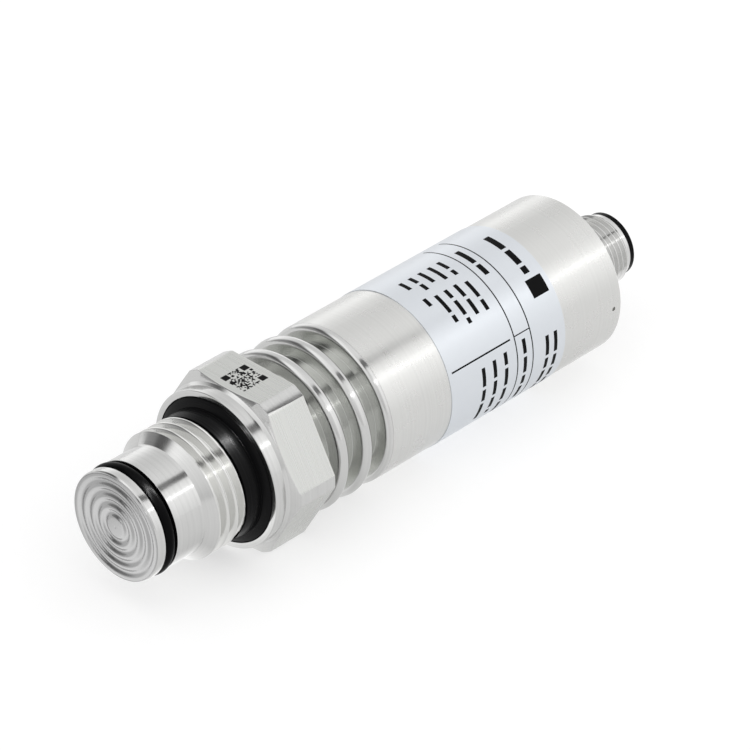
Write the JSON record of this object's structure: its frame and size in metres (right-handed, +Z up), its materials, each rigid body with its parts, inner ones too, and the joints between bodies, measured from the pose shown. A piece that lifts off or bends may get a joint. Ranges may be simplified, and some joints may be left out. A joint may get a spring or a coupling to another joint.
{
  "type": "pressure transmitter",
  "caption": "Pressure transmitter: flush corrugated diaphragm on a threaded nose, wrench hexagon, finned cooling neck, tubular steel housing and round plug connector.",
  "frame": {"origin": "middle of the footprint, on the surface that the lower hexagon flat lies on", "axes": "+X from the diaphragm to the plug, +Z up, away from the lower hexagon flat"},
  "size_m": [0.1088, 0.03, 0.027],
  "materials": {
    "turned_steel": "fine turned stainless steel",
    "diaphragm_foil": "pressed bright stainless foil",
    "satin_steel": "satin stainless steel with fine turning marks",
    "plug_metal": "bright machined metal",
    "label_foil": "matt silver foil",
    "black_rubber": "smooth black rubber",
    "seal_rubber": "dull black rubber",
    "black_plastic": "moulded black plastic",
    "white_plastic": "moulded white plastic",
    "clear_film": "insulating film",
    "bead_glass": "fused glass",
    "silicon": "polished silicon",
    "white_ceramic": "ground ceramic",
    "capacitor_ceramic": "fired ceramic",
    "circuit_board": "green solder mask",
    "plated_pin": "gold-flashed nickel iron",
    "gold_plated_brass": "gold plate on brass",
    "wire_insulation": "extruded insulation"
  },
  "bodies": {
    "root": {"process_fitting": "turned_steel", "diaphragm": "diaphragm_foil", "nose_o_ring": "black_rubber", "process_seal_ring": "seal_rubber", "housing": "satin_steel", "rating_label": "label_foil", "housing_o_ring": "black_rubber", "vent_filter": "white_plastic", "sensor_header": "turned_steel", "feedthrough_glass": "bead_glass", "feedthrough_leads": "plated_pin", "glass_pedestal": "bead_glass", "sensor_chip": "silicon", "displacement_ring": "white_ceramic", "retaining_ring": "turned_steel", "fill_ball": "turned_steel", "fill_screw": "turned_steel", "compensation_board": "circuit_board", "main_board": "circuit_board", "signal_chip": "black_plastic", "board_capacitors": "capacitor_ceramic", "surge_suppressors": "black_plastic", "board_carrier": "white_plastic", "insulating_sleeve": "clear_film", "connector_shell": "plug_metal", "connector_insert": "black_plastic", "contact_pins": "gold_plated_brass", "connector_flange_seal": "black_rubber", "connector_lock_nut": "plug_metal", "lead_wires": "wire_insulation"}
  },
  "joints": []
}
